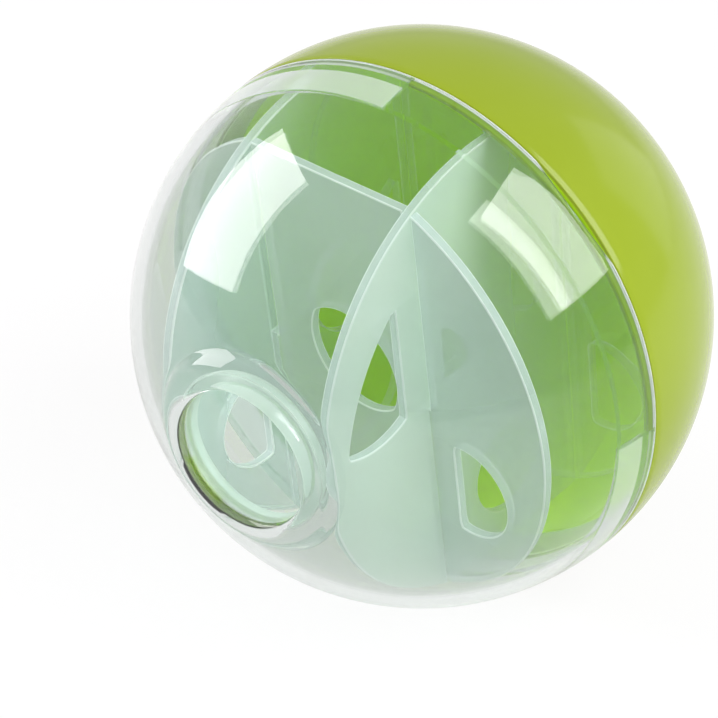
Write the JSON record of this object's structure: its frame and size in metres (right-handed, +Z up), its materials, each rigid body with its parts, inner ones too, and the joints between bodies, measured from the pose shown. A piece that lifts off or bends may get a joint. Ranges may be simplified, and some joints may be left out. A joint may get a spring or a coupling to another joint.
{
  "type": "treat dispensing ball",
  "caption": "Hollow pet ball of a clear half with a collared treat hole and a green half, pushed together round a frosted labyrinth of slotted discs.",
  "frame": {"origin": "centre of the ball", "axes": "-Y out through the dispensing hole, +Z up, +X to the right as seen from the hole"},
  "size_m": [0.08, 0.0796, 0.08],
  "materials": {
    "clear_plastic": "clear, polished",
    "green_plastic": "opaque, glossy",
    "frosted_plastic": "translucent, frosted"
  },
  "bodies": {
    "bowl": {"green_bowl": "green_plastic"},
    "dome": {"clear_dome": "clear_plastic"},
    "labyrinth": {"labyrinth_disc_a1": "frosted_plastic", "labyrinth_disc_a2": "frosted_plastic", "labyrinth_disc_b1": "frosted_plastic", "labyrinth_disc_b2": "frosted_plastic"}
  },
  "joints": [
    {"name": "dome_pull", "type": "slide", "parent": "bowl", "child": "dome", "axis": [0, -1, 0], "range_m": [0, 0.065]},
    {"name": "labyrinth_turn", "type": "hinge", "parent": "bowl", "child": "labyrinth", "pos_m": [0, 0, 0], "axis": [0, -1, 0], "continuous": true}
  ]
}
